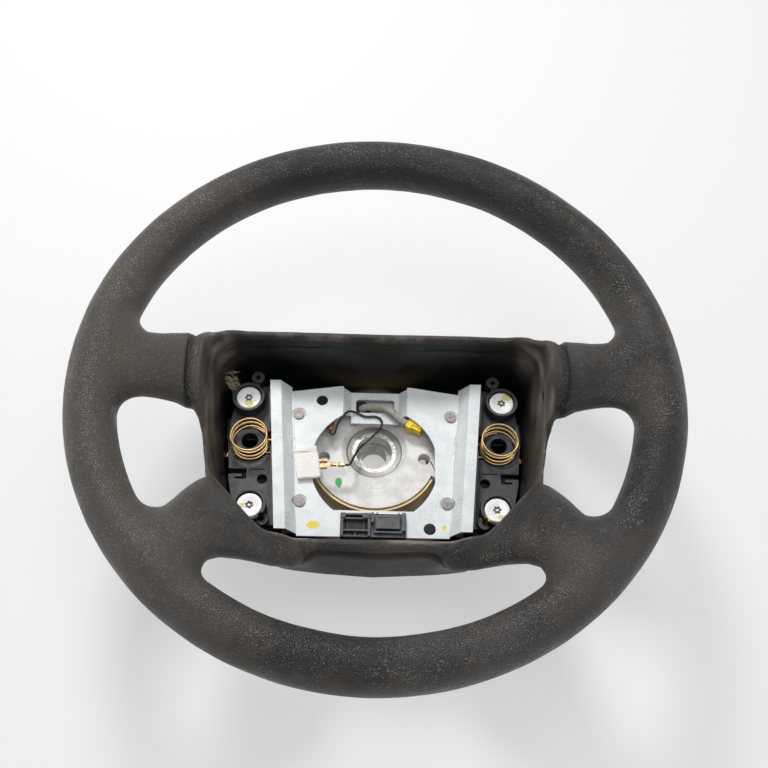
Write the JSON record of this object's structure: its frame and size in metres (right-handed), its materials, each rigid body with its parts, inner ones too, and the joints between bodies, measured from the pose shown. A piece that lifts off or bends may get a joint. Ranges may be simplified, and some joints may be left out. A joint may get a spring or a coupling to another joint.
{
  "type": "car steering wheel",
  "caption": "Four-spoke car steering wheel with foam rim and hub bowl, cast hub, sheet bracket, horn springs and wiring, airbag taken out.",
  "frame": {"origin": "on the steering shaft's axis at the back of the hub pot", "axes": "+Z along the shaft towards the driver, +Y to twelve o'clock, +X to the driver's right"},
  "size_m": [0.38, 0.38, 0.15],
  "materials": {
    "foam": "grained soft skin, worn and dusty",
    "cast": "as cast, pale and matte",
    "passivated": "yellow passivated",
    "bush_steel": "machined",
    "bracket": "light grey paint with grit",
    "copper": "bare copper",
    "carrier": "glass-filled, matte",
    "zinc": "bright zinc",
    "spring": "yellow passivated wire",
    "black_plastic": "moulded",
    "wire_skin": "smooth insulation",
    "terminal": "rolled sheet",
    "wrap": "white wrap",
    "sleeve": "woven sleeve",
    "plug": "yellow moulded"
  },
  "bodies": {
    "wheel": {"foam_cover": "foam", "rim_skeleton": "cast", "armature": "cast", "bracket_pillars": "cast", "hub_pot": "passivated", "hub_bush": "bush_steel", "bracket_plate": "bracket", "bracket_rivets": "copper", "left_carrier": "carrier", "right_carrier": "carrier", "carrier_screws": "zinc", "left_pin_bush": "black_plastic", "right_pin_bush": "black_plastic", "left_connector": "black_plastic", "right_connector": "black_plastic", "horn_contact": "copper", "horn_wire": "wire_skin", "horn_terminal": "terminal", "terminal_wrap": "wrap", "lead_grommet": "black_plastic", "lead_sleeve": "sleeve", "airbag_plug": "plug"},
    "left_spring": {"left_horn_spring": "spring"},
    "right_spring": {"right_horn_spring": "spring"},
    "left_clip": {"left_pin_clip": "spring"},
    "right_clip": {"right_pin_clip": "spring"}
  },
  "joints": [
    {"name": "left_spring_press", "type": "slide", "parent": "wheel", "child": "left_spring", "axis": [0, 0, -1], "range_m": [0, 0.008], "stiffness_N_per_m": 1500, "deforming": ["left_horn_spring"]},
    {"name": "right_spring_press", "type": "slide", "parent": "wheel", "child": "right_spring", "axis": [0, 0, -1], "range_m": [0, 0.008], "stiffness_N_per_m": 1500, "deforming": ["right_horn_spring"]},
    {"name": "left_clip_push", "type": "slide", "parent": "wheel", "child": "left_clip", "axis": [0, 1, 0], "range_m": [0, 0.003], "stiffness_N_per_m": 1500},
    {"name": "right_clip_push", "type": "slide", "parent": "wheel", "child": "right_clip", "axis": [0, 1, 0], "range_m": [0, 0.003], "stiffness_N_per_m": 1500}
  ]
}
